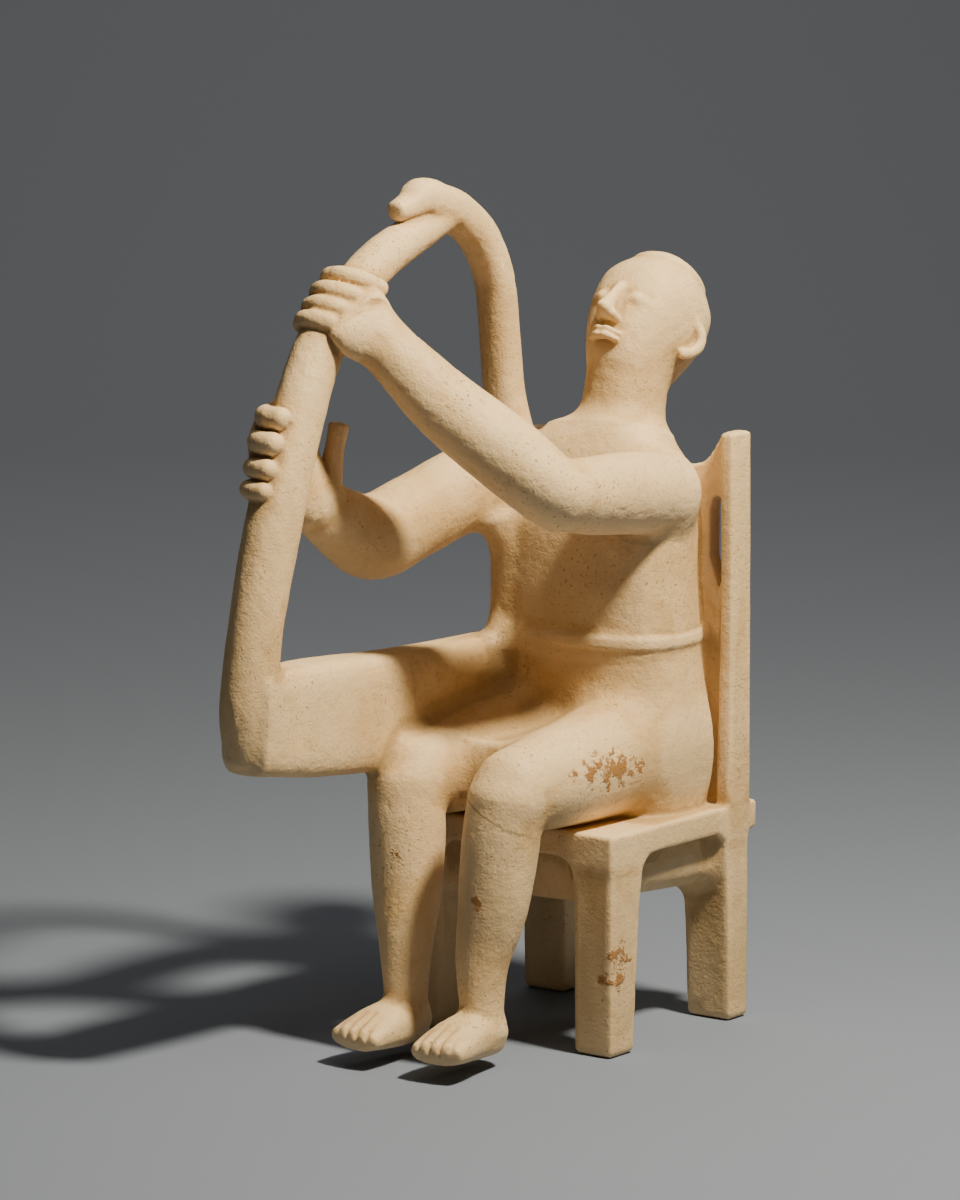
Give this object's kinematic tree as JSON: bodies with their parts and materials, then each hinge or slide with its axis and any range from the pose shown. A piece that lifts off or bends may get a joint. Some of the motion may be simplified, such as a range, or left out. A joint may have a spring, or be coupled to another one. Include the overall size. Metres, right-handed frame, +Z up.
{
  "type": "seated harp player figurine",
  "caption": "Carved marble figurine of a seated player with head tilted back, holding an arched harp, on a high-backed four-legged chair.",
  "frame": {"origin": "middle of the underside of the box round the whole carving, on the plane the chair's four legs stand on", "axes": "+Z up; the player faces -Y; +X is the player's left, so the harp is on the -X side"},
  "size_m": [0.103, 0.2072, 0.2918],
  "materials": {
    "marble": "honed, honey-coloured marble, worn and finely pitted"
  },
  "bodies": {
    "root": {"seated_harp_player": "marble"}
  },
  "joints": []
}
